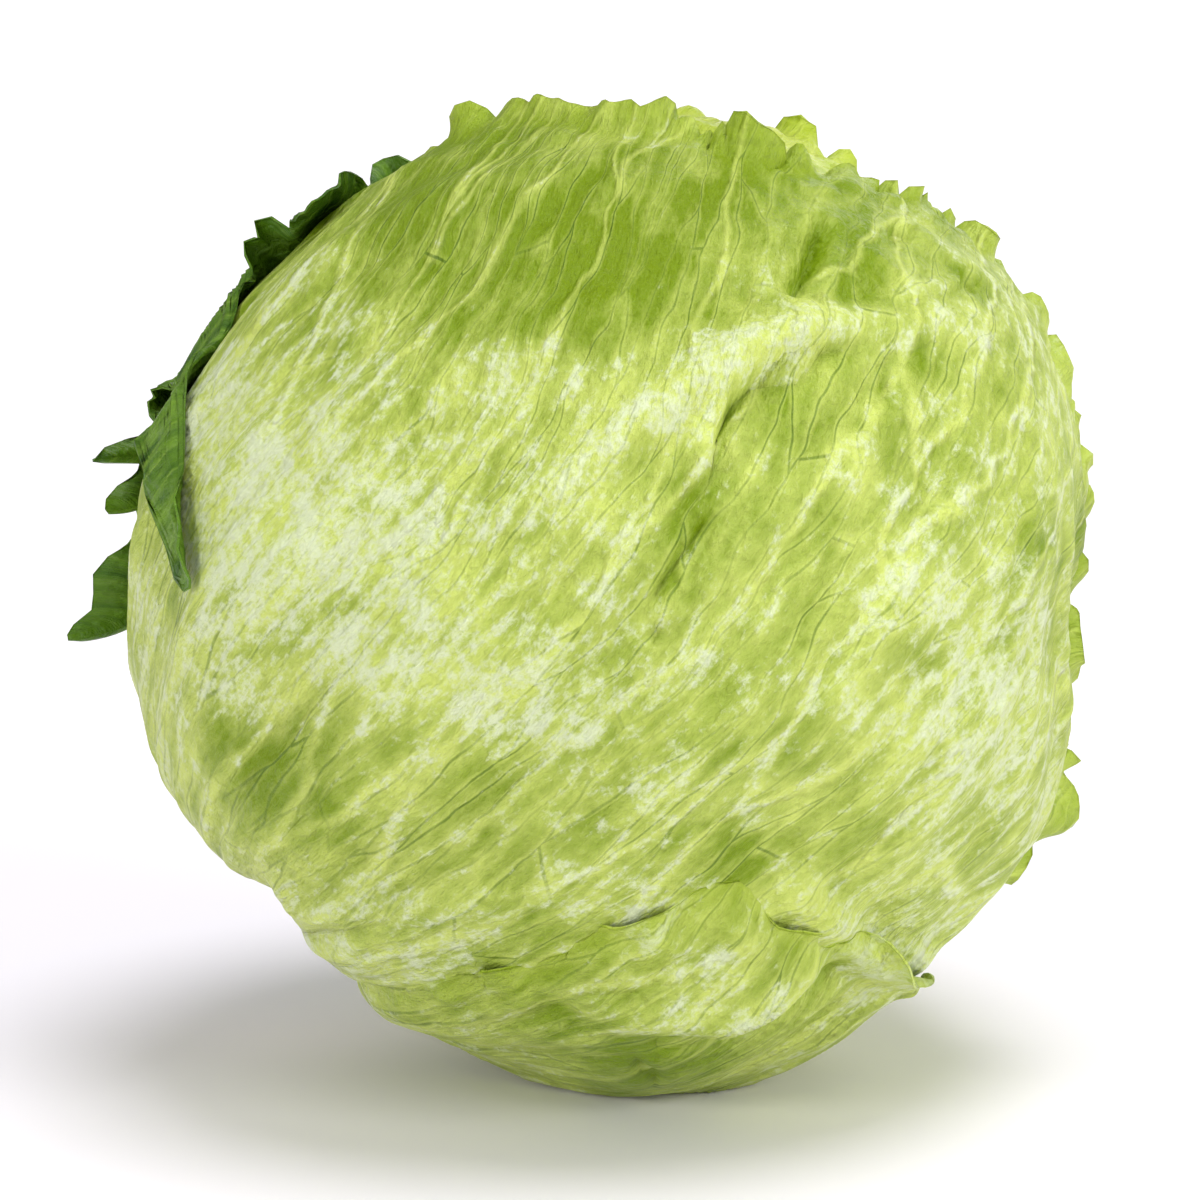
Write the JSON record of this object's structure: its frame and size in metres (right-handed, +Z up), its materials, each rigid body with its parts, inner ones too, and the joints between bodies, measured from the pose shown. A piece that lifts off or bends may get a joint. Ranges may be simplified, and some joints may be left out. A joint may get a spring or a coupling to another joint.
{
  "type": "head of lettuce",
  "caption": "Dense round head of crisphead lettuce lying on its side, wrapped in cupped green leaves with waved edges and a cut stem.",
  "frame": {"origin": "middle of the small flat spot on the lowest leaf, where the head touches the surface it lies on", "axes": "+Z up, -Y towards the viewer of the front view, +X to that viewer's right; the cut stem points down to -X and a little to the back"},
  "size_m": [0.1637, 0.1587, 0.1652],
  "materials": {
    "stem": "matt",
    "heart": "satin",
    "inner_leaf": "satin",
    "wrapper_leaf": "satin",
    "outer_leaf": "satin"
  },
  "bodies": {
    "root": {"stem": "stem", "heart": "heart", "inner_leaf_low": "inner_leaf", "back_leaf_right": "wrapper_leaf", "back_leaf_top": "wrapper_leaf", "under_leaf_front": "inner_leaf", "front_leaf": "wrapper_leaf", "low_leaf": "wrapper_leaf", "outer_leaf_back": "outer_leaf"}
  },
  "joints": []
}
